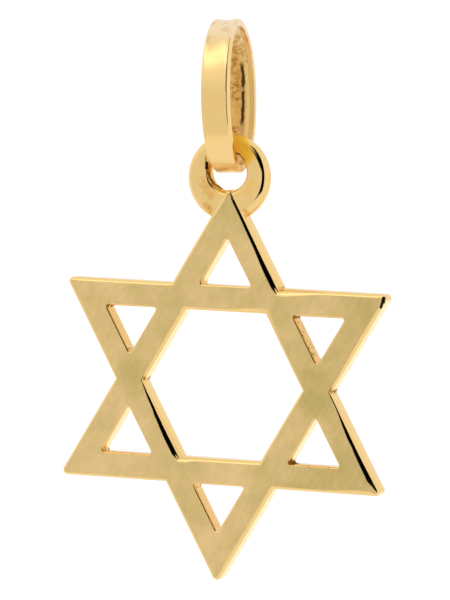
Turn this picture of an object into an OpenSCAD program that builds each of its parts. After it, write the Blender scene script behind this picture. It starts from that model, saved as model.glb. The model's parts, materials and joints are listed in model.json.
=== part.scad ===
// Star pendant: a six-pointed star of flat crossing bars, cast in one with the round eye
// on its top point, that hangs free from an oval bail.
// The origin is the seat of the neck chain, at the top of the bail's inside.
// +X runs along the chain, -Y is the front of the pendant and +Z is up.

/* [Star] */
// Width across the side points, measured before the points are rounded
star_width = 16; // [12:0.5:24]
// Width of each flat bar
bar_width = 1.22; // [1:0.02:1.6]
// Thickness of the bars from front to back
star_thickness = 0.84; // [0.8:0.02:1.4]
// Radius of the rounded front edges of the bars
front_edge_r = 0.24; // [0.1:0.02:0.3]
// Radius of each point, seen from the front
tip_r = 0.22; // [0.1:0.02:0.35]

/* [Eye] */
// Wall of the eye above its hole, where the bail carries it
eye_top_wall = 0.87; // [0.7:0.01:1.2]
// Wall of the eye below its hole, where it runs into the top point
eye_foot_wall = 1.43; // [1.2:0.01:1.9]
// Thickness of the eye from front to back
eye_thickness = 0.74; // [0.5:0.02:0.78]
// How far the rounded edge of the hole reaches into the face of the eye
hole_edge = 0.26; // [0.1:0.02:0.3]
// Flat band left between that edge and the rounded outside, at the top of the eye
eye_band = 0.2; // [0.02:0.02:0.3]
// How far the eye sits to the left of the point's middle, as it was cast
eye_shift = 0.12; // [0:0.02:0.2]
// How far the hole of the eye cuts into the rounded top point
tip_cut = 0.04; // [0.02:0.01:0.2]

/* [Bail] */
// Outer height of the oval bail
bail_height = 7.1; // [6:0.05:9]
// Outer depth of the bail from front to back
bail_depth = 3.75; // [3.4:0.05:5]
// Width of the strap on the sides of the bail
strap_width = 1.34; // [1.1:0.01:1.8]
// Width of the strap at the top, under the chain
crest_width = 1.2; // [1:0.01:1.6]
// Width of the strap at the bottom, where the eye rides on it
seat_width = 1.16; // [1:0.01:1.4]
// Thickness of the flat edge of the strap
strap_edge = 0.34; // [0.25:0.01:0.45]
// Height of the round crown on the inner side of the strap
strap_crown = 0.34; // [0.2:0.01:0.4]
// Height of that crown at the bottom of the bail
seat_crown = 0.5; // [0.3:0.01:0.6]
// Radius of the outer corners of the strap
strap_corner_r = 0.1; // [0.05:0.01:0.15]
// Depth of the shallow hollow along the middle of the outer face of the strap
strap_dish = 0.05; // [0.01:0.01:0.06]
// How far the bail leans to the left as it hangs, in degrees
bail_lean = 3; // [0:0.5:5]

/* [Fit] */
// Gap between the crown of the bail and the wall of the eye that hangs on it
seat_gap = 0.1; // [0.06:0.01:0.15]
// Gap on each side of the strap in the hole of the eye
side_play = 0.29; // [0.24:0.01:0.4]

/* [Hidden] */
$fn = 96;
gold = [0.86, 0.72, 0.46];
margin = 1;

// Star, drawn flat round its own centre with its front towards +Z
star_r = star_width / sqrt(3);
bar_line = star_r / 2;
// The arc of a point cuts its sides at a slight angle instead of touching them
tip_fit = 0.97;
tip_y = star_r - 2 * tip_r * tip_fit;
tip_top = tip_y + tip_r;

// Eye: the hole clears the strap, and the outside is a circle round both of its walls
hole_r = seat_width / 2 + side_play;
eye_r = hole_r + (eye_top_wall + eye_foot_wall) / 2;
eye_rim = eye_top_wall - hole_edge - eye_band;
hole_y = tip_top - tip_cut + hole_r;
eye_y = hole_y + hole_r + eye_top_wall - eye_r;
eye_steps = 10;
// The round edges of the hole leave a short straight wall between them
hole_land = 0.02;

// Bail: the outer oval and the oval along the top of the crown
strap_t = strap_edge + strap_crown;
seat_t = strap_edge + seat_crown;
outer_z = strap_t - bail_height / 2;
inner_height = bail_height - strap_t - seat_t;
inner_z = -inner_height / 2;
bail_steps = 72;
crown_steps = 12;
corner_steps = 3;
seat_blend = 10;
crest_blend = 5;

// The eye hangs on the bottom of the bail, which leans round the seat of the chain
hang = inner_height - seat_gap + hole_r;
star_x = hang * sin(bail_lean) + eye_shift;
star_z = -hang * cos(bail_lean) - hole_y;

// Material up to the line X = edge, with its front edge rounded off
module rounded_side(edge) {
    translate([edge - star_width, -star_thickness / 2])
        square([star_width, star_thickness - front_edge_r]);
    translate([edge - front_edge_r - star_width, -star_thickness / 2])
        square([star_width, star_thickness]);
    translate([edge - front_edge_r, star_thickness / 2 - front_edge_r])
        circle(r = front_edge_r);
}

// Opening up to the line X = edge, widened at the front by the rounding of the bar
module flared_side(edge) {
    height = star_thickness + 2 * margin;
    translate([edge - star_width, -height / 2])
        square([star_width, height]);
    difference() {
        translate([edge - margin, star_thickness / 2 - front_edge_r])
            square([margin + front_edge_r, front_edge_r + margin]);
        translate([edge + front_edge_r, star_thickness / 2 - front_edge_r])
            circle(r = front_edge_r);
    }
}

// The same side three times round the centre; what lies within all three is a triangle
module triangle() {
    intersection_for(turn = [30, 150, 270])
        rotate([0, 0, turn])
            rotate([90, 0, 0])
                linear_extrude(height = 2 * star_width, center = true)
                    children();
}

// Three bars round an open triangle, with a point towards +Y
module triangle_frame() {
    difference() {
        triangle()
            rounded_side(bar_line);
        triangle()
            flared_side(bar_line - bar_width);
    }
}

// What is filed off the point towards +Y to round it
module tip_trim() {
    side = tip_r + margin;
    height = star_thickness + margin;
    difference() {
        linear_extrude(height = height, center = true)
            polygon([
                [0, tip_y],
                [side * cos(30), tip_y + side * sin(30)],
                [0, star_r + 3 * margin],
                [-side * cos(30), tip_y + side * sin(30)]
            ]);
        translate([0, tip_y, 0])
            cylinder(r = tip_r, h = height + margin, center = true);
    }
}

// Both frames in one plane, with six round points
module star_bars() {
    difference() {
        union() {
            triangle_frame();
            rotate([0, 0, 180])
                triangle_frame();
        }
        for (turn = [0 : 60 : 300])
            rotate([0, 0, turn])
                tip_trim();
    }
}

// Half of an oval rim, from its back to its front: [distance out, height] pairs
function rim_curve(out, half_t) = [
    for (i = [0 : 2 * eye_steps])
        let (a = -90 + 90 * i / eye_steps)
            [out * cos(a), half_t * sin(a)]
];

// Disc with an oval rim, pierced by a hole whose edge is the same oval
module eye() {
    half_t = eye_thickness / 2;
    disc_r = eye_r - eye_rim;
    flare_r = hole_r - hole_land + hole_edge;
    difference() {
        translate([-eye_shift, eye_y, 0])
            rotate_extrude()
                polygon(concat(
                    [[0, -half_t]],
                    [for (p = rim_curve(eye_rim, half_t)) [disc_r + p[0], p[1]]],
                    [[0, half_t]]
                ));
        translate([-eye_shift, hole_y, 0])
            rotate_extrude()
                polygon(concat(
                    [[0, -half_t - margin], [flare_r, -half_t - margin]],
                    [for (p = rim_curve(hole_edge, half_t)) [flare_r - p[0], p[1]]],
                    [[flare_r, half_t + margin], [0, half_t + margin]]
                ));
    }
}

module star() {
    color(gold)
        translate([star_x, 0, star_z])
            rotate([90, 0, 0])
                difference() {
                    union() {
                        star_bars();
                        eye();
                    }
                    translate([-eye_shift, hole_y, 0])
                        cylinder(r = hole_r, h = star_thickness + margin, center = true);
                }
}

// Shares of the seat's and the crest's section in the strap at angle u, 0 at the top
function seat_share(u) = pow((1 - cos(u)) / 2, seat_blend);
function crest_share(u) = pow((1 + cos(u)) / 2, crest_blend);

function mix(a, b, share) = a + (b - a) * share;

// Points of the oval bail at angle u: [Y, Z] on its outside and on the top of its crown
function outer_point(u) = [bail_depth / 2 * sin(u), outer_z + bail_height / 2 * cos(u)];
function inner_point(u) = [
    (bail_depth / 2 - strap_t) * sin(u),
    inner_z + inner_height / 2 * cos(u)
];

// Section of the strap: [X, depth below the outer face] pairs, crown first
function crown_part(half_w, crown) = [
    for (i = [0 : crown_steps])
        let (a = 180 * i / crown_steps)
            [half_w * cos(a), strap_edge + crown * sin(a)]
];
function corner_part(half_w, from) = [
    for (i = [0 : corner_steps])
        let (a = from + 90 * i / corner_steps, x = half_w - strap_corner_r)
            [(from < 270 ? -x : x) + strap_corner_r * cos(a), strap_corner_r * (1 + sin(a))]
];
function dish_part(half_w) = [
    for (share = [-0.5, 0, 0.5])
        [share * (half_w - strap_corner_r), strap_dish * (1 - share * share)]
];
function strap_section(half_w, crown) = concat(
    crown_part(half_w, crown),
    corner_part(half_w, 180),
    dish_part(half_w),
    corner_part(half_w, 270)
);

// The section set in place at angle u: its depth runs from the outer oval to the inner one
function bail_ring(u) =
    let (
        out = outer_point(u),
        step = inner_point(u) - out,
        inward = step / norm(step),
        side_w = mix(strap_width, crest_width, crest_share(u)),
        half_w = mix(side_w, seat_width, seat_share(u)) / 2,
        crown = norm(step) - strap_edge
    ) [
        for (p = strap_section(half_w, crown))
            [p[0], out[0] + inward[0] * p[1], out[1] + inward[1] * p[1]]
    ];

module bail() {
    rings = [for (i = [0 : bail_steps - 1]) bail_ring(360 * i / bail_steps)];
    count = len(rings[0]);
    points = [for (ring = rings) each ring];
    faces = [
        for (i = [0 : bail_steps - 1], j = [0 : count - 1])
            let (
                next_i = (i + 1) % bail_steps,
                next_j = (j + 1) % count,
                a = i * count + j,
                b = i * count + next_j,
                c = next_i * count + next_j,
                d = next_i * count + j
            )
                each [[a, c, b], [a, d, c]]
    ];
    color(gold)
        rotate([0, -bail_lean, 0])
            polyhedron(points = points, faces = faces);
}

star();
bail();
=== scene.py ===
# %% [markdown]
# # A gold six-pointed star on its bail
# This notebook dresses a small gold pendant, about 16 mm wide, that hangs from an oval bail. On the real
# object the star, with the round eye on its top point, is one casting, and the bail is a bent strap
# that is soldered shut. Everything here is built in metres round the packed frame, so a piece sits
# exactly where the construction says, and the frame itself is never moved.

# %% The frame
import json
import math
import bmesh
import bpy
from mathutils import Matrix, Vector

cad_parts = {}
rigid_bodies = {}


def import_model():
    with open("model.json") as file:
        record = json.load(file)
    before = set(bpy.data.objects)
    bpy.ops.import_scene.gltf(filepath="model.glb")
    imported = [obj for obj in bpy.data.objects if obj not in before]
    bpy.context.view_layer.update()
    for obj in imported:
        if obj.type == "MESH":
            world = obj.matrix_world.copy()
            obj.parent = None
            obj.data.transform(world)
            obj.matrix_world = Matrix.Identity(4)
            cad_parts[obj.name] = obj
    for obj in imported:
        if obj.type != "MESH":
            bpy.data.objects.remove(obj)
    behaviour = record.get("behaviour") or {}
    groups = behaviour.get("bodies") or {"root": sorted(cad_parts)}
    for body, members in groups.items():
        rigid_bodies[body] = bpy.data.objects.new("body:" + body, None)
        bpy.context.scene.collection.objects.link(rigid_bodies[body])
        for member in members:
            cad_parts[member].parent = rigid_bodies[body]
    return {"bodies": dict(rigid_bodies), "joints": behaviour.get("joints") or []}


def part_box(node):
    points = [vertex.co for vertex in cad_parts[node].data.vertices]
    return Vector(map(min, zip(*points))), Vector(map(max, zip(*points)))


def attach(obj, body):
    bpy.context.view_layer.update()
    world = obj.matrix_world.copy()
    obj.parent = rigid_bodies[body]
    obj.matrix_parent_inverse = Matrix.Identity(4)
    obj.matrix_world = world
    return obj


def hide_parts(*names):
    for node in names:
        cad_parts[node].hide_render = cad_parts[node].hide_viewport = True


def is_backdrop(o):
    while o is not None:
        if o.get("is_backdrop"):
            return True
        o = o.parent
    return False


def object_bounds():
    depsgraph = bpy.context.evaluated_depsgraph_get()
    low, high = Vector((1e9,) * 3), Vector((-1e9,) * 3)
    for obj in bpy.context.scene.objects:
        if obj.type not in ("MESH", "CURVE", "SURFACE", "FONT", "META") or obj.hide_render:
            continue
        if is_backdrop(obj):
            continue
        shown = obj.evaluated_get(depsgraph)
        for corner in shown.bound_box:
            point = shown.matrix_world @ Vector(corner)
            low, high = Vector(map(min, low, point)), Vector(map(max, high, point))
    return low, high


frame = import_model()
cad_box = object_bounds()
MM = 0.001


def in_mm(point):
    return [round(c / MM, 3) for c in point]


print("bodies", sorted(frame["bodies"]), "box in mm", [in_mm(p) for p in cad_box])

# %% [markdown]
# ## Sizes from the frame
# A jeweller would measure the star with a gauge. The frame gives the same numbers: the star's box
# says how wide and thick the bars' plate is and where its middle lies, and the joint says where the
# eye turns on the bail. Only the sizes that no box can show, such as the width of a bar, are written
# down here.

# %% Measured and named sizes
star_low, star_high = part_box("star")
bail_low, bail_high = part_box("bail")
swing = frame["joints"][0]["pos_m"]

POINT_R = 0.22 * MM
BAR_W = 1.22 * MM
plate_t = star_high.y - star_low.y
half_width = (star_high.x - star_low.x) / 2
sharp_r = (half_width - POINT_R) / math.cos(math.radians(30)) + 2 * POINT_R
bar_out = sharp_r / 2
bar_in = bar_out - BAR_W
centre = Vector(((star_low.x + star_high.x) / 2, 0, star_low.z + sharp_r - POINT_R))

HOLE_R = 0.87 * MM
EYE_TOP_WALL = 0.87 * MM
EYE_FOOT_WALL = 1.43 * MM
EYE_T = 0.74 * MM
hole = Vector((swing[0], 0, swing[2] - EYE_TOP_WALL / 2 - HOLE_R))
print("star's middle in mm", in_mm(centre), "radius to its sharp points", round(sharp_r / MM, 3))
print("the bail hangs from", in_mm(bail_high)[2], "down to", in_mm(bail_low)[2], "mm")

# %% [markdown]
# ## The camera
# The picture was taken a little from the right and from just above, with a long lens. A camera can
# be aimed with rotation angles, but it is easier to see what happens when its three axes are built
# by hand: `back` points from the star to the camera, and `right` and `up` are square to it. The star
# hangs low in the picture, so the camera looks at a point above it, and it is rolled by two degrees
# because the star hangs slightly askew.

# %% Camera
AZIMUTH = math.radians(21.3)
ELEVATION = math.radians(4.7)
ROLL = math.radians(-1.9)
DISTANCE = 249.2 * MM
FOCAL_MM = 324.4
NEAREST = 10 * MM
FARTHEST = 20.0
IMAGE_W, IMAGE_H = 450, 600
STAR_PIXEL = (222.0, 385.5)
PIXELS_PER_MM = 21.7


def view_axes(azimuth, elevation, roll):
    """The camera's right, up and back axes, with the roll taken in."""
    back = Vector((math.sin(azimuth) * math.cos(elevation),
                   -math.cos(azimuth) * math.cos(elevation),
                   math.sin(elevation)))
    level = Vector((math.cos(azimuth), math.sin(azimuth), 0))
    upright = back.cross(level)
    right = level * math.cos(roll) - upright * math.sin(roll)
    up = level * math.sin(roll) + upright * math.cos(roll)
    return right, up, back


def add_camera():
    right, up, back = view_axes(AZIMUTH, ELEVATION, ROLL)
    target = Vector((centre.x, -plate_t / 2, centre.z))
    place = target + back * DISTANCE
    aside = (IMAGE_W / 2 - STAR_PIXEL[0]) / PIXELS_PER_MM * MM
    above = (STAR_PIXEL[1] - IMAGE_H / 2) / PIXELS_PER_MM * MM
    aim = place - (target + right * aside + up * above)
    aim.normalize()
    side = up.cross(aim).normalized()
    turn = Matrix((side, aim.cross(side), aim)).transposed()
    data = bpy.data.cameras.new("photo_camera")
    data.lens = FOCAL_MM
    data.clip_start = NEAREST
    data.clip_end = FARTHEST
    camera = bpy.data.objects.new("photo_camera", data)
    camera.matrix_world = Matrix.Translation(place) @ turn.to_4x4()
    bpy.context.scene.collection.objects.link(camera)
    bpy.context.scene.camera = camera
    print("camera at, in mm", in_mm(place))


add_camera()

# %% [markdown]
# ## From a bmesh to an object
# Every piece ends the same way: its bmesh becomes a mesh, the mesh gets an object at the origin, and
# faces are shaded smooth except where they meet at a real edge. Points that coincide are merged
# first, and the normals are worked out again after that, because spinning and mirroring can leave
# faces inside out.

# %% Helpers for finished pieces
SMOOTH_ANGLE = math.radians(32)
MERGE = 0.001 * MM


def finish_mesh(shape, name):
    """A bmesh becomes an object at the origin, with its normals outwards and sharp edges kept."""
    bmesh.ops.remove_doubles(shape, verts=shape.verts, dist=MERGE)
    bmesh.ops.recalc_face_normals(shape, faces=shape.faces)
    report(shape, name)
    mesh = bpy.data.meshes.new(name)
    shape.to_mesh(mesh)
    shape.free()
    piece = bpy.data.objects.new(name, mesh)
    bpy.context.scene.collection.objects.link(piece)
    smooth_faces(piece)
    return piece


def smooth_faces(piece):
    piece.data.shade_smooth()
    piece.data.set_sharp_from_angle(angle=SMOOTH_ANGLE)


def report(shape, name):
    open_edges = sum(1 for edge in shape.edges if len(edge.link_faces) != 2)
    print(name, len(shape.verts), "vertices", len(shape.faces), "faces", open_edges, "open edges")


print("faces are smoothed where they meet at less than", round(math.degrees(SMOOTH_ANGLE)), "degrees")

# %% [markdown]
# ## The star's outline
# A hexagram looks complicated, but one twelfth of it is a plain shape: half of a point, with half of
# its small window and half of one side of the middle hexagon. The rest is that shape mirrored once
# and turned six times. Drawing the twelfth and repeating it keeps every bar exactly as wide as the
# next. The point itself is drawn as a face of its own, which its two halves then share, so that a
# wide rounding can run up to the very tip. The corners of the windows are a little round, as a saw
# and a file leave them.

# %% One twelfth of the star
ARC_STEPS = 4
WINDOW_R = 0.09 * MM
TOP_TURNS = (0, -20, -40, -60)
SIDE_TURNS = (60, 30, 0, -30, -60)
TAN30 = math.tan(math.radians(30))
COS30 = math.cos(math.radians(30))
arc_middle = sharp_r - 2 * POINT_R
window_top = 2 * bar_in


def on_plate(x, z):
    return Vector((x, -plate_t / 2, z))


def point_arc():
    """The rounded tip, from where it leaves the side of the bar to the middle line."""
    for i in range(ARC_STEPS + 1):
        angle = math.radians(30 + 60 * i / ARC_STEPS)
        yield on_plate(POINT_R * math.cos(angle), arc_middle + POINT_R * math.sin(angle))


def window_arc(corner_x, corner_z, inward, turns):
    """A rounded corner of the window: `inward` is the direction from the corner to its middle,
    which lies two radii away because the corner is as wide as that of an even triangle."""
    middle_x = corner_x + 2 * WINDOW_R * math.cos(inward)
    middle_z = corner_z + 2 * WINDOW_R * math.sin(inward)
    for turn in turns:
        angle = inward + math.pi + math.radians(turn)
        yield on_plate(middle_x + WINDOW_R * math.cos(angle), middle_z + WINDOW_R * math.sin(angle))


def half_arm():
    """Half an arm up to the top of its window, with half a side of the middle hexagon."""
    yield on_plate(0, bar_in)
    yield on_plate(bar_in * TAN30, bar_in)
    yield on_plate(bar_out * TAN30, bar_out)
    yield on_plate((sharp_r - window_top) * TAN30, window_top)
    yield on_plate(0, window_top)
    yield from window_arc(0, window_top, math.radians(-90), TOP_TURNS)
    corner_x = (bar_in - bar_out / 2) / COS30
    yield from window_arc(corner_x, bar_out, math.radians(150), SIDE_TURNS)
    yield on_plate(0, bar_out)


def half_point():
    yield on_plate((sharp_r - window_top) * TAN30, window_top)
    yield from point_arc()
    yield on_plate(0, window_top)


print("a twelfth has", len(list(half_arm())), "corners, and half its point", len(list(half_point())))

# %% [markdown]
# ## Twelve twelfths
# The mirror and the turn leave seams where the copies meet. They are only lines of the drawing, so
# they stay as they are, while every real edge is cut into short steps. The steps matter for the
# rounding, which can change only from one of them to the next.

# %% The whole outline
STEP_LENGTH = 0.3 * MM
TOUCH = 1e-8
ARMS = 6


def on_line(edge, x_of):
    return all(abs(x_of(v.co) - v.co.x) < TOUCH for v in edge.verts)


def on_middle(edge):
    return on_line(edge, lambda p: 0)


def is_seam(edge):
    """Edges on the middle line, between two arms or across the point are only seams of the drawing."""
    between_arms = on_line(edge, lambda p: p.z * TAN30)
    across_point = all(abs(v.co.z - window_top) < TOUCH for v in edge.verts)
    return on_middle(edge) or between_arms or across_point


def in_point(edge):
    return min(v.co.z for v in edge.verts) > window_top - TOUCH


def split_long_edges(shape):
    for edge in list(shape.edges):
        cuts = 0 if is_seam(edge) else int(edge.calc_length() / STEP_LENGTH)
        if cuts:
            bmesh.ops.subdivide_edges(shape, edges=[edge], cuts=cuts)


def everything(shape):
    return shape.verts[:] + shape.edges[:] + shape.faces[:]


def draw_star(shape):
    for corners in (half_arm(), half_point()):
        shape.faces.new([shape.verts.new(p) for p in corners])
    bmesh.ops.remove_doubles(shape, verts=shape.verts, dist=TOUCH)
    split_long_edges(shape)
    bmesh.ops.mirror(shape, geom=everything(shape), axis="X", merge_dist=TOUCH)
    halved = [edge for edge in shape.edges if on_middle(edge) and in_point(edge)]
    bmesh.ops.dissolve_edges(shape, edges=halved)
    bmesh.ops.spin(shape, geom=everything(shape), axis=(0, 1, 0), cent=(0, 0, 0), angle=2 * math.pi,
                   steps=ARMS, use_duplicate=True, dvec=(0, 0, 0))
    bmesh.ops.remove_doubles(shape, verts=shape.verts, dist=TOUCH)


plan = bmesh.new()
draw_star(plan)
print("star outline:", len(plan.verts), "vertices", len(plan.faces), "faces")

# %% [markdown]
# ## Where the wheel dwelt
# The real bars were rounded by hand on a polishing wheel, more here and less there, which is why the
# dark reflection along some edges swells and thins. So the rounding is drawn as a map: a short list
# of places, each with its reach and the share of the widest rounding that is found there. Inside the
# windows and round the points the wheel can't reach, and the rounding stays small.

# %% The map of the rounding
POLISH = [
    # place on the star in mm from its middle, reach in mm, share of the widest rounding
    (2.4, 5.1, 1.3, 1.05),
    (1.4, 6.9, 1.1, 0.65),
    (0.6, 8.4, 0.9, 0.55),
    (5.4, -0.2, 1.1, 0.25),
    (6.6, -2.3, 1.1, 0.75),
    (7.2, -3.3, 0.9, 0.95),
    (-3.9, 0.0, 0.5, 0.25),
    (-3.3, -1.1, 0.6, 0.54),
    (-2.9, -1.9, 0.6, 0.86),
    (-2.4, -2.8, 0.7, 1.00),
    (-5.6, 4.6, 2.2, 0.45),
    (5.6, 4.6, 1.9, 0.45),
    (0.0, -3.4, 1.5, 0.45),
    (-2.9, 1.7, 1.2, 0.45),
    (1.4, -6.9, 1.8, 0.45),
    (6.7, 2.3, 1.6, 0.50),
]
POLISH_PULL = 8
EVEN_POLISH = 0.30
WINDOW_POLISH = 0.20
WINDOW_REACH = 1.6 * MM
POINT_POLISH = 0.36
POINT_REACH = 0.4 * MM
POINT_GROWTH = 3.2 / MM


def spot_share(x, z):
    """Share of the widest rounding at a place on the plate: a mean of the map, nearest places first."""
    total, weight = EVEN_POLISH, 1.0
    for spot_x, spot_z, reach, share in POLISH:
        away = math.hypot(x / MM - spot_x, z / MM - spot_z) / reach
        pull = POLISH_PULL * math.exp(-away * away)
        total += pull * share
        weight += pull
    return min(total / weight, 1)


def polish_share(x, z):
    """The same, kept small in the windows and at the points, where the wheel can't reach round."""
    window_out = (2 * bar_in + 2 * bar_out) / 3
    share = spot_share(x, z)
    for k in range(ARMS):
        angle = math.radians(90 + 60 * k)
        across, along = math.cos(angle), math.sin(angle)
        if math.hypot(x - window_out * across, z - window_out * along) < WINDOW_REACH:
            return WINDOW_POLISH
        from_tip = math.hypot(x - arc_middle * across, z - arc_middle * along)
        share = min(share, POINT_POLISH + POINT_GROWTH * max(from_tip - POINT_REACH, 0))
    return share


print("share of the rounding at the lower left of the hexagon", round(polish_share(-2.9 * MM, -1.9 * MM), 2))

# %% [markdown]
# ## From a drawing to a cast plate
# The flat drawing is pulled back to the thickness of the plate. Its edges could be rounded with the
# bevel operator, but that gives one width to all. A Bevel modifier scales its width by a weight on
# each edge, so it can follow the map. Only the rims of the front and the back get a weight, and the
# upright corners of the walls stay as they are.

# %% Thickness and rounded edges
ROUND_MAX = 0.46 * MM
ROUND_STEPS = 8
BACK_POLISH = 0.12
RIM_ANGLE = math.radians(60)


def thicken(shape):
    result = bmesh.ops.extrude_face_region(shape, geom=shape.faces[:])
    moved = [g for g in result["geom"] if isinstance(g, bmesh.types.BMVert)]
    bmesh.ops.translate(shape, verts=moved, vec=(0, plate_t, 0))


def weigh_edges(shape):
    layer = shape.edges.layers.float.new("bevel_weight_edge")
    for edge in shape.edges:
        a, b = (v.co for v in edge.verts)
        is_wall_corner = abs(a.y - b.y) > plate_t / 2
        if is_wall_corner or edge.calc_face_angle(0) < RIM_ANGLE:
            continue
        middle = (a + b) / 2
        edge[layer] = polish_share(middle.x, middle.z) if middle.y < 0 else BACK_POLISH


def build_plate():
    thicken(plan)
    bmesh.ops.recalc_face_normals(plan, faces=plan.faces)
    weigh_edges(plan)
    bmesh.ops.translate(plan, verts=plan.verts, vec=centre)
    piece = finish_mesh(plan, "star_plate")
    bevel = piece.modifiers.new("hand rounding", "BEVEL")
    bevel.width = ROUND_MAX
    bevel.segments = ROUND_STEPS
    bevel.limit_method = "WEIGHT"
    bevel.use_clamp_overlap = False
    return piece


plate = build_plate()

# %% [markdown]
# ## The eye
# The eye is a thick round disc with an off-centre hole, cast on the top point. Turned work like this
# is spun: a profile is drawn once and swept round the axis of the hole. Because the outside is a
# circle with another centre, the wall is then slid down by a share that grows from the hole outwards.

# %% The eye on the top point
HOLE_EDGE = 0.20 * MM
EYE_EDGE = 0.41 * MM
EYE_STEPS = 144
RIM_STEPS = 14
eye_r = HOLE_R + (EYE_TOP_WALL + EYE_FOOT_WALL) / 2
eye_drop = (EYE_FOOT_WALL - EYE_TOP_WALL) / 2


def eye_profile():
    """Closed outline of the wall: distance from the hole's axis, and height from the mid plane."""
    for i in range(2 * RIM_STEPS + 1):
        angle = math.radians(-90 + 90 * i / RIM_STEPS)
        yield eye_r - EYE_EDGE + EYE_EDGE * math.cos(angle), EYE_T / 2 * math.sin(angle)
    for i in range(2 * RIM_STEPS + 1):
        angle = math.radians(90 + 90 * i / RIM_STEPS)
        yield HOLE_R + HOLE_EDGE + HOLE_EDGE * math.cos(angle), EYE_T / 2 * math.sin(angle)


def close_ring(shape, ring):
    for a, b in zip(ring, ring[1:] + ring[:1]):
        shape.edges.new((a, b))


def build_eye():
    shape = bmesh.new()
    close_ring(shape, [shape.verts.new(hole + Vector((0, y, r))) for r, y in eye_profile()])
    bmesh.ops.spin(shape, geom=shape.verts[:] + shape.edges[:], axis=(0, 1, 0), cent=hole,
                   angle=2 * math.pi, steps=EYE_STEPS, use_merge=True)
    for v in shape.verts:
        out = math.hypot(v.co.x - hole.x, v.co.z - hole.z)
        v.co.z -= eye_drop * (out - HOLE_R) / (eye_r - HOLE_R)
    return finish_mesh(shape, "eye")


eye = build_eye()

# %% [markdown]
# ## The section of the bail
# The bail is a strap with a flat outside, slightly hollow along its middle, and a rounded inside with
# a small ledge on each side. The section is drawn once, and not in millimetres but in shares of the
# strap's own sizes, because those sizes change on the way round.

# %% The strap's section
BAIL_H = 7.1 * MM
BAIL_D = 3.75 * MM
STRAP_W = 1.34 * MM
CREST_W = 1.2 * MM
SEAT_W = 1.16 * MM
STRAP_EDGE = 0.34 * MM
STRAP_CROWN = 0.34 * MM
SEAT_CROWN = 0.5 * MM
CORNER_R = 0.1 * MM
CROWN_SHARE = 0.70
SHOULDER = 1.08
CROWN_STEPS = 20
CORNER_STEPS = 5
DISH_PLACES = (-0.75, -0.5, -0.25, 0, 0.25, 0.5, 0.75)


def strap_section():
    """Closed outline of the strap: place across, from -1 to 1, and depth below the outside, where a
    depth under 1 is a share of the flat edge, one over 1 adds a share of the crown, and one below 0
    is a share of the hollow in the outside."""
    corner = CORNER_R / (STRAP_W / 2)
    lift = CORNER_R / STRAP_EDGE
    yield 1, 1
    for i in range(CROWN_STEPS + 1):
        angle = math.pi * i / CROWN_STEPS
        yield CROWN_SHARE * math.cos(angle), SHOULDER + (2 - SHOULDER) * math.sin(angle)
    yield -1, 1
    for i in range(CORNER_STEPS + 1):
        angle = math.radians(180 + 90 * i / CORNER_STEPS)
        yield -1 + corner + corner * math.cos(angle), lift * (1 + math.sin(angle))
    for share in DISH_PLACES:
        yield share * (1 - corner), share * share - 1
    for i in range(CORNER_STEPS + 1):
        angle = math.radians(270 + 90 * i / CORNER_STEPS)
        yield 1 - corner + corner * math.cos(angle), lift * (1 + math.sin(angle))


print("the section has", len(list(strap_section())), "points")

# %% [markdown]
# ## A hoop pressed into an oval
# Here too the shape starts as turned work: the section is spun into a round hoop, and each point of
# that hoop is then moved to the same place on an oval. The strap narrows at the top and, more, at the
# bottom where the eye rides on it. The finished bail leans by three degrees, as it hangs in the
# picture.

# %% The bail's strap
DISH = 0.05 * MM
LEG_DISH = 0.015 * MM
SEAT_BLEND = 10
CREST_BLEND = 5
LEAN = math.radians(3)
HOOP_R = 10 * MM
BAIL_STEPS = 144
strap_t = STRAP_EDGE + STRAP_CROWN
seat_t = STRAP_EDGE + SEAT_CROWN
outer_z = strap_t - BAIL_H / 2
inner_h = BAIL_H - strap_t - seat_t


def strap_width(turn):
    seat = ((1 - math.cos(turn)) / 2) ** SEAT_BLEND
    crest = ((1 + math.cos(turn)) / 2) ** CREST_BLEND
    width = STRAP_W + (CREST_W - STRAP_W) * crest
    return width + (SEAT_W - width) * seat


def oval_point(depth, height, middle, turn):
    """A point of an oval in the plane of the bail: turn 0 is the top, and the front comes next."""
    return Vector((0, -depth / 2 * math.sin(turn), middle + height / 2 * math.cos(turn)))


def oval_place(across, depth, turn):
    """A point of the strap on the oval."""
    outside = oval_point(BAIL_D, BAIL_H, outer_z, turn)
    inside = oval_point(BAIL_D - 2 * strap_t, inner_h, -inner_h / 2, turn)
    inward = (inside - outside).normalized()
    crown = (inside - outside).length - STRAP_EDGE
    hollow = LEG_DISH + (DISH - LEG_DISH) * max(math.cos(turn), 0) ** 2
    sunk = STRAP_EDGE * max(min(depth, 1), 0) + crown * max(depth - 1, 0) + hollow * max(-depth, 0)
    return outside + inward * sunk + Vector((across * strap_width(turn) / 2, 0, 0))


def build_bail():
    shape = bmesh.new()
    section = strap_section()
    close_ring(shape, [shape.verts.new((across * MM, 0, HOOP_R - depth * MM)) for across, depth in section])
    bmesh.ops.spin(shape, geom=shape.verts[:] + shape.edges[:], axis=(1, 0, 0), cent=(0, 0, 0),
                   angle=2 * math.pi, steps=BAIL_STEPS, use_merge=True)
    for v in shape.verts:
        depth = (HOOP_R - math.hypot(v.co.y, v.co.z)) / MM
        v.co = oval_place(v.co.x / MM, depth, math.atan2(-v.co.y, v.co.z))
    bmesh.ops.rotate(shape, verts=shape.verts, cent=(0, 0, 0), matrix=Matrix.Rotation(-LEAN, 3, "Y"))
    return finish_mesh(shape, "bail_strap")


bail = build_bail()

# %% [markdown]
# ## Shader maths in plain Python
# A shader is a network of small nodes, and sums and products in it are tedious to wire by hand. The
# class below wraps one socket, so that `1 - mask` or `mask * 0.2 + 0.1` builds the Math nodes by
# itself. Every other node comes from one method, `node`.

# %% A small language for materials


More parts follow.
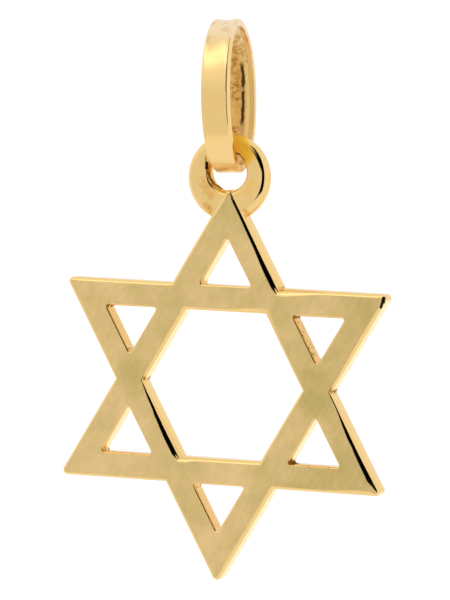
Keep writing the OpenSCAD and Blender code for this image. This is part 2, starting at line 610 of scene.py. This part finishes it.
class Wire:
    """One output of a node, with arithmetic that adds Math nodes."""

    def __init__(self, tree, socket):
        self.tree = tree
        self.socket = socket

    def __add__(self, other):
        return maths(self.tree, "ADD", self, other)

    def __sub__(self, other):
        return maths(self.tree, "SUBTRACT", self, other)

    def __rsub__(self, other):
        return maths(self.tree, "SUBTRACT", other, self)

    def __mul__(self, other):
        return maths(self.tree, "MULTIPLY", self, other)

    def __truediv__(self, other):
        return maths(self.tree, "DIVIDE", self, other)

    def __rtruediv__(self, other):
        return maths(self.tree, "DIVIDE", other, self)

    def __neg__(self):
        return maths(self.tree, "SUBTRACT", 0, self)

    def __abs__(self):
        return maths(self.tree, "ABSOLUTE", self)

    __radd__ = __add__
    __rmul__ = __mul__

    def larger(self, other):
        return maths(self.tree, "MAXIMUM", self, other)

    def step(self, low, high):
        """0 below low, 1 above high, and a smooth ramp between them."""
        return node(self.tree, "ShaderNodeMapRange", {"interpolation_type": "SMOOTHSTEP"},
                    {"Value": self, "From Min": low, "From Max": high})

    def band(self, rise, fall):
        """Rises from 0 to 1 over the first pair of values and falls back over the second."""
        return self.step(*rise) * (1 - self.step(*fall))


def node(tree, kind, settings=None, values=None, out=0):
    """Adds a node, sets it up, joins its sockets to wires or fills them with numbers."""
    made = tree.nodes.new(kind)
    for key, value in (settings or {}).items():
        setattr(made, key, value)
    for key, value in (values or {}).items():
        if isinstance(value, Wire):
            tree.links.new(value.socket, made.inputs[key])
        elif value is not None:
            made.inputs[key].default_value = value
    return Wire(tree, made.outputs[out]) if made.outputs else None


def maths(tree, operation, first, second=None):
    return node(tree, "ShaderNodeMath", {"operation": operation}, {0: first, 1: second})


def empty_tree(owner):
    owner.use_nodes = True
    owner.node_tree.nodes.clear()
    return owner.node_tree


print("besides its sums a wire knows", [name for name in vars(Wire) if not name.startswith("_")])

# %% [markdown]
# ## Colours and places
# Colours and vectors aren't numbers, and a Math node would turn them grey, so they get helpers of
# their own. `coats` lays colours over one another the way a painter would: each coat has a share,
# which says where it covers, and a colour.

# %% Helpers for colours and places


def mix_colour(tree, share, first, second):
    return node(tree, "ShaderNodeMix", {"data_type": "RGBA"}, {"Factor": share, 6: first, 7: second}, out=2)


def coats(tree, base, layers):
    """The base colour with layers over it, each one a share and a colour."""
    for share, colour in layers:
        base = mix_colour(tree, share, base, colour)
    return base


def vector_maths(tree, operation, first, second, out=0):
    return node(tree, "ShaderNodeVectorMath", {"operation": operation}, {0: first, 1: second}, out)


def axis_value(tree, vector, axis):
    return node(tree, "ShaderNodeSeparateXYZ", values={0: vector}, out=axis)


def mm(low, high):
    return low * MM, high * MM


print("a step from 0.2 to 0.3 mm is written as", mm(0.2, 0.3))

# %% [markdown]
# ## Clouds and strokes
# Two kinds of pattern are enough for handwork. Clouds are soft noise, for what the wheel did
# unevenly. Strokes are short lines with a soft border, for what sits in one known place, like old
# polish in a corner: a round spot looks dotted there, and a line follows the corner. The share of a
# stroke comes from the distance to its nearest point, so it needs a few vector nodes and no image.

# %% Clouds, spots and strokes
SPOT_CORE = 0.3
NO_DETAIL = 0.0
FINE_DETAIL = 3.0


def cloudy(tree, place, size, detail=2.0):
    """Soft noise about 0.5 whose patches are about `size` metres wide."""
    return node(tree, "ShaderNodeTexNoise", values={"Vector": place, "Scale": 0.5 / size, "Detail": detail})


def soft_spot(tree, place, spot, reach):
    """1 at a spot, fading to 0 at its reach."""
    return 1 - vector_maths(tree, "DISTANCE", place, spot, "Value").step(reach * SPOT_CORE, reach)


def from_stroke(tree, place, x0, z0, x1, z1):
    """Distance from a short line on the plate, given in mm from the star's middle."""
    start = Vector((centre.x + x0 * MM, 0, centre.z + z0 * MM))
    run = Vector((x1 - x0, 0, z1 - z0)) * MM
    flat = vector_maths(tree, "MULTIPLY", place, (1, 0, 1))
    gone = vector_maths(tree, "SUBTRACT", flat, start)
    along = vector_maths(tree, "DOT_PRODUCT", gone, run / run.length_squared, "Value")
    share = node(tree, "ShaderNodeClamp", values={"Value": along})
    nearest = node(tree, "ShaderNodeVectorMath", {"operation": "SCALE"}, {0: run, "Scale": share})
    return vector_maths(tree, "DISTANCE", gone, nearest, "Value")


def strokes_share(tree, place, strokes):
    """The strongest of a list of strokes at each place."""
    most = 0
    for x0, z0, x1, z1, reach, share in strokes:
        away = from_stroke(tree, place, x0, z0, x1, z1)
        most = ((1 - away.step(0, reach * MM)) * share).larger(most)
    return most


print("a spot is whole up to", SPOT_CORE, "of its reach")

# %% [markdown]
# ## The colour of gold
# Polished gold is a mirror: almost all that one sees is the room, tinted by the metal. So each
# finish here is a strong colour with its own roughness. The flat faces were rubbed on leather until
# they were satin, while the rounded edges kept their gloss. Gold that was never wiped clean is amber
# from a film of old polish, and where the polish is thick it is brown.

# %% Colours and roughness
GOLD = (1.0, 0.69, 0.285, 1)
GOLD_COOL = (0.96, 0.68, 0.27, 1)
OLIVE = (0.69, 0.52, 0.185, 1)
PEACH = (1.0, 0.71, 0.325, 1)
# pale for the painted highlight on the bail's crest
CREST_HIGHLIGHT_COLOUR = (0.97, 0.80, 0.55, 1)
# amber of old polish, and of the painted reflection on the bail's underside
AMBER_STAIN_AND_REFLECTION = (0.90, 0.54, 0.16, 1)
# amber for the painted reflection and painted shade on the eye
REFLECTION_AMBER = (1.0, 0.57, 0.06, 1)
RESIDUE = (0.27, 0.125, 0.010, 1)
# black for thick old polish, and for the painted dark reflection at the right upper point
BLACK = (0.012, 0.010, 0.006, 1)
POLISHED = 0.09
SATIN = 0.30
DULLING = 0.35
print("roughness", POLISHED, "polished,", SATIN, "satin and", POLISHED + DULLING, "under old polish")

# %% [markdown]
# ## The satin face
# A hand rubs a face in one direction, here up to the right, so the satin has faint strokes that way,
# and the noise that draws them is stretched along them. At listed places, such as where two bars
# cross, the face is painted more olive as painted shade, and at others more peach as painted light.
# Towards the right it is painted a little more olive, painted shade too. Only the flat front and back
# are satin: the mask asks both that the face looks straight out and that it lies in one of those planes.

# %% Rubbed by hand
RUBBED = math.radians(60)
STRETCH = 0.35
FACES_OUT = (0.988, 0.9995)
FLAT_PLANE = (plate_t / 2 - 0.03 * MM, plate_t / 2 - 0.005 * MM)
RUBBED_MIDDLE = 0.56
# painted shade: the face is painted more olive towards the right
PAINTED_SHADE_DRIFT = -0.022 / MM
FINE_STROKES = 0.10 * MM
SOFT_PATCHES = 0.40 * MM
WIDE_PATCHES = 1.5 * MM
FINE_SHARE = 0.6
SOFT_SHARE = 0.95
WIDE_SHARE = 0.6
PAINTED_SHADE_AND_LIGHT = [
    # place on the star in mm from its middle, reach in mm, towards peach as painted light or, below 0,
    # towards olive as painted shade
    (-4.5, 0.2, 1.5, -0.55),
    (4.6, -0.1, 1.5, -0.5),
    (1.3, 6.2, 1.6, 0.45),
    (0.1, -7.3, 1.8, 0.35),
    (0.2, -4.0, 1.4, 0.3),
    (4.6, 4.0, 1.6, 0.25),
    (5.8, -4.0, 1.6, -0.2),
    (-4.0, 4.0, 1.5, -0.15),
]


def satin_mask(tree, place):
    """1 on the flat front and back of the star's plate, 0 on its rounded edges and on the eye."""
    normal = node(tree, "ShaderNodeTexCoord", out="Normal")
    facing = abs(axis_value(tree, normal, "Y"))
    out = abs(axis_value(tree, place, "Y"))
    return facing.step(*FACES_OUT) * out.step(*FLAT_PLANE)


def rubbed_share(tree, place):
    """0 where the face is olive and 1 where it is peach: faint strokes on larger soft patches, with
    painted shade and painted light at the listed places and towards the right.
    """
    x = axis_value(tree, place, "X")
    z = axis_value(tree, place, "Z")
    along = (x * math.cos(RUBBED) + z * math.sin(RUBBED)) * STRETCH
    across = z * math.cos(RUBBED) - x * math.sin(RUBBED)
    strokes = node(tree, "ShaderNodeCombineXYZ", values={0: along, 1: across})
    fine = cloudy(tree, strokes, FINE_STROKES) - 0.5
    soft = cloudy(tree, place, SOFT_PATCHES) - 0.5
    wide = cloudy(tree, place, WIDE_PATCHES, NO_DETAIL) - 0.5
    drift = (x - centre.x) * PAINTED_SHADE_DRIFT
    share = RUBBED_MIDDLE + fine * FINE_SHARE + soft * SOFT_SHARE + wide * WIDE_SHARE + drift
    # painted shade and painted light at the listed places
    for spot_x, spot_z, reach, amount in PAINTED_SHADE_AND_LIGHT:
        spot = centre + Vector((spot_x * MM, 0, spot_z * MM))
        share = share + soft_spot(tree, place, spot, reach * MM) * amount
    return share


print("shaded places on the satin face:", len(PAINTED_SHADE_AND_LIGHT))

# %% [markdown]
# ## Old polish, and painted reflection and shade
# Brown polish dries where no wheel gets to: in the corners of the windows, in the notches and in the
# corner where the eye meets the point. Beside the bail the eye is painted amber, a painted reflection
# of the bail, and round the left and the foot of its hole it is painted amber too, as painted shade.
# At the right upper point a small black mark is a painted dark reflection. Each is a stroke with a
# reach and a thickness. What lies thickest turns black, the next brown, and its border amber.

# %% Places that the wheel missed, and painted reflection and shade
GRIME_AND_SHADE = [
    # where it starts and ends, in mm from the star's middle, reach in mm, how thick it lies
    # the corners and walls of the windows, clockwise from the top one
    (-1.35, 4.7, -1.3, 4.7, 0.25, 1.0),
    (3.3, 3.4, 3.4, 3.35, 0.28, 1.1),
    (3.5, 3.0, 4.5, 1.4, 0.6, 0.68),
    (4.45, 1.4, 4.5, 1.3, 0.2, 0.75),
    (3.45, -3.4, 3.6, -3.35, 0.3, 1.25),
    (3.8, -3.4, 5.6, -3.45, 0.3, 0.6),
    (-1.3, -4.7, -1.25, -4.8, 0.3, 0.85),
    (-1.1, -5.1, -0.4, -6.3, 0.5, 0.5),
    (-0.6, -6.0, -0.2, -6.65, 0.2, 0.85),
    (-6.0, -3.4, -5.85, -3.4, 0.3, 0.85),
    (-5.5, -3.45, -3.3, -3.5, 0.3, 0.6),
    (-5.9, 3.45, -5.85, 3.4, 0.3, 1.1),
    (-5.8, 3.2, -4.8, 1.5, 0.5, 0.5),
    (-4.75, 1.4, -4.7, 1.3, 0.25, 0.65),
    # the notches at the right and above it, and the left corner of the hexagon
    (5.35, 0.05, 5.4, 0.05, 0.25, 1.0),
    (2.68, 4.6, 2.72, 4.6, 0.25, 0.8),
    (-3.9, 0.05, -3.85, 0.08, 0.2, 0.9),
    # the left side of the eye's hole, from its top to its foot; then the upper right of its rim, where a
    # dark line beside the bail is painted shade
    (-1.2, 10.5, -1.16, 10.2, 0.1, 1.1),
    (-1.14, 10.22, -1.14, 9.98, 0.14, 2.2),
    (-1.13, 9.95, -1.0, 9.52, 0.12, 1.3),
    (-1.0, 9.52, -0.81, 9.25, 0.1, 1.2),
    (-0.81, 9.25, -0.45, 9.05, 0.09, 1.0),
    (0.15, 10.74, 0.45, 10.7, 0.08, 1.1),
    (0.45, 10.69, 0.74, 10.42, 0.07, 1.05),
    # where the eye runs into the point
    (-1.3, 9.3, -0.9, 8.7, 0.4, 0.5),
    (-1.1, 8.3, -0.9, 8.0, 0.3, 0.8),
    (0.85, 8.05, 0.9, 8.0, 0.25, 0.8),
]
AMBER_REFLECTION_AND_SHADE = [
    # the same for the painted amber on the eye: a painted reflection beside the bail, and painted shade
    # round the left and the foot of the hole
    (0.3, 11.3, 0.75, 10.65, 0.65, 1.35),
    (-1.25, 10.4, -1.1, 9.2, 0.75, 0.15),
    (-0.9, 9.0, 0.4, 8.9, 0.45, 0.25),
    (1.1, 9.4, 0.95, 8.9, 0.4, 0.3),
]
DARK_REFLECTION_STROKES = [
    # the same for the painted dark reflection, wide at the point and thin at its tail
    (7.74, 4.45, 7.71, 4.28, 0.15, 1.0),
    (7.70, 4.28, 7.60, 4.02, 0.10, 1.0),
]
# the strokes of film are painted reflection and painted shade, and the last strokes a painted dark
# reflection
print("strokes of old polish:", len(GRIME_AND_SHADE), "of film:", len(AMBER_REFLECTION_AND_SHADE), "of the burr:", len(DARK_REFLECTION_STROKES))

# %% [markdown]
# ## The star's finish
# A finish gives four things back: its colour, the share that is satin, the share that is dulled by
# old polish and by the painted amber on the eye, and the large soft patches, which also bend the
# surface a little. Speckles are added to the thickness of the polish before it is turned into
# colours, so that its borders are ragged.

# %% The star from clean gold to the painted dark reflection
PATCHES = 1.0 * MM
PATCH_STEP = (0.35, 0.65)
SPECKLES = 0.07 * MM
RAGGED = 1.4
# the painted amber on the eye, a painted reflection and painted shade, and how much it dulls the gold
AMBER_REFLECTION_STEP = (0, 0.7)
AMBER_REFLECTION_DULL = 0.7
AMBER_STEP = (0.15, 0.55)
BROWN_STEP = (0.72, 1.0)
BLACK_STEP = (1.25, 1.6)
# the painted dark reflection at the right upper point
DARK_REFLECTION_STEP = (0.35, 0.6)
FRONT_RIM = (plate_t / 2 - 0.2 * MM, plate_t / 2 - 0.1 * MM)


def star_finish(tree, place):
    satin = satin_mask(tree, place)
    patches = cloudy(tree, place, PATCHES)
    bright = mix_colour(tree, patches.step(*PATCH_STEP), GOLD, GOLD_COOL)
    rubbed = mix_colour(tree, rubbed_share(tree, place), OLIVE, PEACH)
    # painted reflection of the bail on the eye, and painted shade round its hole
    amber_reflection_and_shade = strokes_share(tree, place, AMBER_REFLECTION_AND_SHADE) * (1 - satin)
    speckles = (cloudy(tree, place, SPECKLES, FINE_DETAIL) - 0.5) * RAGGED
    thick = strokes_share(tree, place, GRIME_AND_SHADE) * (1 - satin) + speckles
    brown = thick.step(*BROWN_STEP)
    front = (-axis_value(tree, place, "Y")).step(*FRONT_RIM)
    # a painted dark reflection at the right upper point, on its front rim
    dark_reflection = strokes_share(tree, place, DARK_REFLECTION_STROKES).step(*DARK_REFLECTION_STEP) * front
    colour = coats(tree, bright, [
        (satin, rubbed),
        (amber_reflection_and_shade.step(*AMBER_REFLECTION_STEP), REFLECTION_AMBER),
        (thick.step(*AMBER_STEP), AMBER_STAIN_AND_REFLECTION),
        (brown, RESIDUE),
        (dark_reflection.larger(thick.step(*BLACK_STEP)), BLACK),
    ])
    return colour, satin, brown.larger(amber_reflection_and_shade * AMBER_REFLECTION_DULL), patches


# the film is the painted amber on the eye, a painted reflection and painted shade
print("film, brown and black start at a thickness of", AMBER_REFLECTION_STEP[0], BROWN_STEP[0], "and", BLACK_STEP[0])

# %% [markdown]
# ## Finding one's way on the bail
# The bail's finish changes round the loop and across the strap, so a place is first read as how far
# across the strap it lies, how far back and how high. The bail leans, and that lean is taken out of
# the first number. Inside and outside are told apart by an oval that lies just under the outer face.

# %% Across, back and up on the strap
OVAL_INSET = 0.9
OVAL_STEP = (0.94, 1.0)


def strap_axes(tree, place):
    back = axis_value(tree, place, "Y")
    up = axis_value(tree, place, "Z")
    across = axis_value(tree, place, "X") + up * math.tan(LEAN)
    return across, back, up


def inside_mask(back, up):
    """1 within the oval just under the outer face of the strap."""
    deep = back / (BAIL_D / 2 - STRAP_EDGE * OVAL_INSET)
    high = (up - outer_z) / (BAIL_H / 2 - STRAP_EDGE * OVAL_INSET)
    return 1 - (deep * deep + high * high).step(*OVAL_STEP)


print("the oval's half depth in mm", round((BAIL_D / 2 - STRAP_EDGE * OVAL_INSET) / MM, 3))

# %% [markdown]
# ## The outside of the bail
# The outside is the brightest polish of all, and it is painted paler towards the crest, a painted
# highlight, where tan smudges lie. The underside, beside the eye, is hard to reach with a wheel: it is
# less glossy, and it is painted amber with amber ovals, a painted reflection of the eye and the star
# below it. The ovals are the lines where soft noise crosses its own middle.

# %% Crest, smudges and underside
STRAP_GOLD = (1.0, 0.70, 0.30, 1)
STRAP_WARM = (1.0, 0.68, 0.26, 1)
TAN = (0.75, 0.48, 0.24, 1)
CREST = mm(-0.8, 0.4)
# the painted highlight on the crest
CREST_HIGHLIGHT_SHARE = 0.85
SMUDGED = mm(-1.3, -0.6)
SMUDGE_STEP = (0.50, 0.66)
SMUDGE_SHARE = 0.4
UNDERSIDE = mm(5.65, 6.05)
# the painted reflection of the eye and the star on the underside
UNDER_REFLECTION_SHARE = 0.35
REFLECTED_OVAL_SHARE = 0.45
REFLECTED_OVALS = 0.3 * MM
REFLECTED_OVAL_LINE = (0.01, 0.06)


def strap_gold_colour(tree, place, patches):
    return mix_colour(tree, patches.step(*PATCH_STEP), STRAP_GOLD, STRAP_WARM)


def outside_coats(tree, place, up, under):
    # painted reflection on the underside, and painted highlight on the crest
    reflected_ovals = 1 - abs(cloudy(tree, place, REFLECTED_OVALS, NO_DETAIL) - 0.5).step(*REFLECTED_OVAL_LINE)
    return [
        (under * (UNDER_REFLECTION_SHARE + reflected_ovals * REFLECTED_OVAL_SHARE), AMBER_STAIN_AND_REFLECTION),
        (up.step(*CREST) * CREST_HIGHLIGHT_SHARE, CREST_HIGHLIGHT_COLOUR),
    ]


def smudges(up, inside, curls):
    return curls.step(*SMUDGE_STEP) * up.step(*SMUDGED) * (1 - inside) * SMUDGE_SHARE


print("the underside starts", round(UNDERSIDE[0] / MM, 2), "mm below the chain's seat")

# %% [markdown]
# ## The inside of the bail
# No wheel gets inside the loop. From left to right the strap is amber with brown stains and curls,
# then golden on the flank of its crown, and painted lighter on the ledge at its side, a painted
# highlight. A dark line is painted down the back leg, to the right of the crown's middle, with a break
# half way: a painted reflection of the tent's dark slit. It isn't straight, so noise is added to its
# place across before its sides are cut. The photo shows this side only in part, so the curls are
# noise of the right size and colour and not the same marks.

# %% Stains, curls and a painted dark reflection
HONEY = (0.92, 0.56, 0.20, 1)
# cream for the painted highlight on the ledge
LEDGE_HIGHLIGHT_CREAM = (1.0, 0.81, 0.44, 1)
CARAMEL = (0.82, 0.47, 0.10, 1)
STAIN = (0.45, 0.24, 0.03, 1)
CURL_BROWN = (0.36, 0.16, 0.03, 1)
# black of the painted dark reflection
SLIT_REFLECTION_BLACK = (0.05, 0.03, 0.004, 1)
LEFT_HALF = mm(-0.05, 0.20)
FLANK = mm(0.22, 0.30)
LEDGE = mm(0.44, 0.48)
BY_SLIT_REFLECTION = mm(0.24, 0.5)
LOWER_PART = mm(0.7, 3.2)
FLECKS = 0.11 * MM
FLECK_STEP = (0.38, 0.66)
CURLS = 0.18 * MM
CURL_LINE = (0.012, 0.06)
CURL_PATCHES = 0.5 * MM
CURL_PATCH_STEP = (0.44, 0.56)
# where the painted dark reflection lies, and how it wanders and breaks
SLIT_REFLECTION_SIDES = (mm(0.20, 0.23), mm(0.33, 0.36))
SLIT_REFLECTION_ENDS = (mm(1.2, 1.6), mm(4.0, 4.35))
SLIT_REFLECTION_SLOPE = 0.017
SLIT_REFLECTION_WANDER = 0.16 * MM
SLIT_REFLECTION_BREAK = 2.57 * MM
BREAK_STEP = mm(0.04, 0.14)
BREAK_DARK = 0.3
BACK_LEG = mm(0, 0.1)
LEFT_STAIN = 0.13
STAIN_BY_SLIT_REFLECTION = 0.15
UPPER_STAIN = 0.5
HONEY_SHARE = 0.25
CARAMEL_SHARE = 0.7


def slit_reflection_mask(across, back, up, curls):
    """1 along the painted dark reflection on the back leg, a reflection of the tent's dark slit."""
    wander = across - up * SLIT_REFLECTION_SLOPE + (curls - 0.5) * SLIT_REFLECTION_WANDER
    unbroken = abs(up + SLIT_REFLECTION_BREAK).step(*BREAK_STEP) * (1 - BREAK_DARK) + BREAK_DARK
    return wander.band(*SLIT_REFLECTION_SIDES) * (-up).band(*SLIT_REFLECTION_ENDS) * unbroken * back.step(*BACK_LEG)


def inside_coats(tree, place, across, up, inside):
    left = 1 - across.step(*LEFT_HALF)
    ledge = across.step(*LEDGE)
    flecks = cloudy(tree, place, FLECKS).step(*FLECK_STEP)
    upper = 1 - (-up).step(*LOWER_PART)
    by_slit_reflection = 1 - across.step(*BY_SLIT_REFLECTION)
    most = left * LEFT_STAIN + by_slit_reflection * STAIN_BY_SLIT_REFLECTION + upper * UPPER_STAIN
    stained = flecks * (1 - ledge) * most
    return [
        (inside * across.band(FLANK, LEDGE) * HONEY_SHARE, HONEY),
        # a painted highlight on the ledge
        (inside * ledge, LEDGE_HIGHLIGHT_CREAM),
        (inside * left * CARAMEL_SHARE, CARAMEL),
        (inside * stained, STAIN),
    ]


def curl_share(tree, place, across, curls):
    """Thin curled lines in patches on the left half."""
    in_patches = cloudy(tree, place, CURL_PATCHES, NO_DETAIL).step(*CURL_PATCH_STEP)
    return (1 - abs(curls - 0.5).step(*CURL_LINE)) * in_patches * (1 - across.step(*LEFT_HALF))


# top and foot of the painted dark reflection
slit_reflection_top, slit_reflection_foot = SLIT_REFLECTION_ENDS[0][0], SLIT_REFLECTION_ENDS[1][1]
print("the crease runs from", round(slit_reflection_top / MM, 2), "to", round(slit_reflection_foot / MM, 2), "mm down")

# %% [markdown]
# ## The bail's finish
# The coats are laid from the cleanest to the darkest: clean gold, the outside with its painted
# highlight and painted reflection, the stains inside with the painted highlight on the ledge, then
# smudges, curls and the painted dark reflection. The inside counts as satin and as a little dull,
# because a surface that was never polished scatters the light, and the underside is dull too.

# %% The bail from clean gold to the painted dark reflection
INSIDE_DULL = 0.4
UNDER_DULL = 0.45
CURL_SHARE = 0.8
SLIT_REFLECTION_SHARE = 0.95


def bail_finish(tree, place):
    across, back, up = strap_axes(tree, place)
    inside = inside_mask(back, up)
    under = (-up).step(*UNDERSIDE)
    patches = cloudy(tree, place, PATCHES)
    curls = cloudy(tree, place, CURLS)
    # the painted dark reflection of the tent's slit, inside the loop
    slit_reflection = slit_reflection_mask(across, back, up, curls) * inside
    layers = outside_coats(tree, place, up, under) + inside_coats(tree, place, across, up, inside)
    layers.append((smudges(up, inside, curls), TAN))
    layers.append((curl_share(tree, place, across, curls) * inside * CURL_SHARE, CURL_BROWN))
    layers.append((slit_reflection * SLIT_REFLECTION_SHARE, SLIT_REFLECTION_BLACK))
    colour = coats(tree, strap_gold_colour(tree, place, patches), layers)
    dull = slit_reflection.larger((under * UNDER_DULL).larger(inside * INSIDE_DULL))
    return colour, inside, dull, patches


print("inside is dulled by", INSIDE_DULL, "and the underside by", UNDER_DULL)

# %% [markdown]
# ## Two golds
# Both pieces share one recipe. Roughness is polish, satin or dirt, with a little noise. Dirt isn't
# metal, so where the gold is dull the metallic share falls and a plain matt colour shows. Two bumps
# bend the reflections: a low, wide one, as on any face that was polished by hand, and a very fine one
# for the grain. Their heights are a few hundredths of a millimetre and less, because the shape itself
# is in the mesh.

# %% The two gold materials
GRAIN = 0.08 * MM
GRAIN_GLOSS = 0.04
PATCH_GLOSS = 0.15
DULL_METAL_LOSS = 0.9
WIDE_BUMP = {"Strength": 0.3, "Distance": 0.02 * MM}
GRAIN_BUMP = {"Strength": 0.05, "Distance": 0.002 * MM}


def gold(name, finish):
    material = bpy.data.materials.new(name)
    tree = empty_tree(material)
    place = node(tree, "ShaderNodeTexCoord", out="Object")
    colour, satin, dull, patches = finish(tree, place)
    grain = cloudy(tree, place, GRAIN, FINE_DETAIL)
    satin_part = satin * (SATIN - POLISHED + (patches - 0.5) * PATCH_GLOSS)
    roughness = POLISHED + (grain - 0.5) * GRAIN_GLOSS + satin_part + dull * DULLING
    wide = node(tree, "ShaderNodeBump", values={**WIDE_BUMP, "Height": patches})
    fine = node(tree, "ShaderNodeBump", values={**GRAIN_BUMP, "Height": grain, "Normal": wide})
    shader = node(tree, "ShaderNodeBsdfPrincipled", values={
        "Base Color": colour, "Metallic": 1 - dull * DULL_METAL_LOSS, "Roughness": roughness,
        "Specular IOR Level": 0.0, "Normal": fine})
    node(tree, "ShaderNodeOutputMaterial", values={"Surface": shader})
    print(name, len(tree.nodes), "nodes")
    return material


satin_gold = gold("satin_gold", star_finish)
strap_gold = gold("strap_gold", bail_finish)

# %% [markdown]
# ## One casting
# The plate and the eye were cast together, so here they become one mesh. The modifier is applied
# first, because the joined mesh has to hold the rounded edges themselves. Joining leaves long thin
# faces, and a Weighted Normal modifier stops them from pulling at the shading of the large flat ones.

# %% Join the star


def applied(piece):
    """The piece's mesh with its modifiers worked in; the piece itself goes."""
    graph = bpy.context.evaluated_depsgraph_get()
    mesh = bpy.data.meshes.new_from_object(piece.evaluated_get(graph))
    bpy.data.objects.remove(piece)
    return mesh


def fuse(piece, other):
    union = piece.modifiers.new("one casting", "BOOLEAN")
    union.operation = "UNION"
    union.solver = "EXACT"
    union.object = other
    mesh = applied(piece)
    bpy.data.objects.remove(other)
    return mesh


def even_normals(piece):
    """Large flat faces keep their own normal, so that only the rounded edges bend a reflection."""
    smooth_faces(piece)
    weighted = piece.modifiers.new("even normals", "WEIGHTED_NORMAL")
    weighted.mode = "FACE_AREA"
    weighted.keep_sharp = True


def build_casting():
    shape = bmesh.new()
    shape.from_mesh(fuse(plate, eye))
    piece = finish_mesh(shape, "star_casting")
    even_normals(piece)
    return piece


casting = build_casting()

# %% [markdown]
# ## Each piece on its body
# The star swings and the bail stays with the chain, so each piece is told which body it rides on. It
# also gets its gold, and the solid of the construction that it stands for is hidden.

# %% Gold on the pieces, and the pieces on their bodies
casting.data.materials.append(satin_gold)
bail.data.materials.append(strap_gold)
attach(casting, "star")
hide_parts("star")
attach(bail, "bail")
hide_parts("bail")
print(casting.name, "rides on the star and", bail.name, "on the bail")

# %% [markdown]
# ## Light
# Jewellers photograph gold in a white tent, because a mirror shows whatever stands round it. The
# world below is such a tent, and its parts are named by where they stand: a compass direction round
# the pendant and a height above the horizon. The front is a pale card, a bright window hangs above
# it, and to the right is the dark slit that the camera looks through. That slit is what draws the
# black lines along the edges that face the upper right. A smaller dark panel stands beside the slit.

# %% The parts of the tent
TENT_LIGHT = 0.92
CARD_LIGHT = 0.80
WINDOW_LIGHT = 1.42
BACKDROP_LIGHT = 1.3
# each part: its sides and its heights in degrees, and how soft its border is
CARD = ((-75, 0), (-60, 9), 8)
CARD_FOOT = (-35.5, -32.5)
WINDOW = ((-52, -6), (17, 34), 6)
WINDOW_SLANT = 0.25
SLIT = ((7, 40), (-21, 58), 1.5)
SLIT_SLANT = 0.28
LENS = ((-8, 14), (3, 27), 1.5)
BACKDROP = ((140, 200), (-40, -12), 6)


def widened(edge, soft):
    return edge - soft, edge + soft


def panel(azimuth, elevation, sides, heights, soft):
    """1 on a panel of the tent, 0 off it, with a border that is soft over so many degrees."""
    across = azimuth.band(*[widened(side, soft) for side in sides])
    upright = elevation.band(*[widened(height, soft) for height in heights])
    return across * upright


def tent_level(azimuth, elevation):
    """How bright the tent is in a direction, and where its cool backdrop stands."""
    card = panel(azimuth, elevation, *CARD) * elevation.step(*CARD_FOOT)
    window = panel(azimuth, elevation + azimuth * WINDOW_SLANT, *WINDOW)
    slit = panel(azimuth - elevation * SLIT_SLANT, elevation, *SLIT)
    lens = panel(azimuth, elevation, *LENS)
    backdrop = panel(abs(azimuth), elevation, *BACKDROP)
    level = TENT_LIGHT - card * (TENT_LIGHT - CARD_LIGHT)
    level = level + window * (WINDOW_LIGHT - TENT_LIGHT) + backdrop * (BACKDROP_LIGHT - TENT_LIGHT)
    return level * (1 - slit) * (1 - lens), backdrop


print("the slit is", SLIT[0][1] - SLIT[0][0], "degrees wide and", SLIT[1][1] - SLIT[1][0], "high")

# %% [markdown]
# ## The tent as a world
# The world is only light: the camera itself sees plain white behind the pendant, and every other
# ray sees the tent. The ray's direction comes as a vector and is turned into the two angles first.

# %% The world
WHITE = (1, 1, 1, 1)
COOL = (0.86, 0.92, 1.0, 1)
DEGREES = 180 / math.pi


def tent_directions(tree):
    """Azimuth and elevation of a ray in degrees: azimuth 0 is the front and grows to the right."""
    ray = node(tree, "ShaderNodeTexCoord", out="Generated")
    x = axis_value(tree, ray, "X")
    y = axis_value(tree, ray, "Y")
    z = axis_value(tree, ray, "Z")
    azimuth = maths(tree, "ARCTAN2", x, -y) * DEGREES
    elevation = maths(tree, "ARCSINE", z) * DEGREES
    return azimuth, elevation


def build_world():
    world = bpy.data.worlds.new("tent")
    bpy.context.scene.world = world
    tree = empty_tree(world)
    seen = node(tree, "ShaderNodeLightPath", out="Is Camera Ray")
    level, backdrop = tent_level(*tent_directions(tree))
    strength = seen + (1 - seen) * level
    colour = mix_colour(tree, backdrop * (1 - seen), WHITE, COOL)
    background = node(tree, "ShaderNodeBackground", values={"Color": colour, "Strength": strength})
    node(tree, "ShaderNodeOutputWorld", values={"Surface": background})
    print("world", len(tree.nodes), "nodes")


build_world()
bpy.context.scene.view_settings.view_transform = "Standard"

# %% [markdown]
# ## The floor
# The pendant hangs above a plain white table. It is only there to be seen behind the gold, so it
# doesn't show in the reflections, where the tent already stands for it.

# %% A plain white floor
FLOOR_DROP = 20 * MM
FLOOR_HALF = 6.0
TABLE_GREY = (0.9, 0.9, 0.9, 1)
TABLE_FINISH = {
    "Base Color": TABLE_GREY,
    "Roughness": 0.9,
    "Emission Color": WHITE,
    "Emission Strength": 0.3,
}


def build_floor():
    shape = bmesh.new()
    bmesh.ops.create_grid(shape, x_segments=1, y_segments=1, size=FLOOR_HALF)
    bmesh.ops.translate(shape, verts=shape.verts, vec=(0, 0, star_low.z - FLOOR_DROP))
    floor = finish_mesh(shape, "floor")
    material = bpy.data.materials.new("white_table")
    tree = empty_tree(material)
    shader = node(tree, "ShaderNodeBsdfPrincipled", values=TABLE_FINISH)
    node(tree, "ShaderNodeOutputMaterial", values={"Surface": shader})
    floor.data.materials.append(material)
    floor.visible_glossy = False
    floor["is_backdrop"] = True


build_floor()

# %% [markdown] ## The last look The box round all the pieces is printed, as that of the
# construction is at the start. When the two agree, the dressed model is as large as the solids, and
# what fits one fits the other.

# %% The size of the dressed model, printed
visual_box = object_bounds()
print("visual box in mm", [in_mm(p) for p in visual_box])
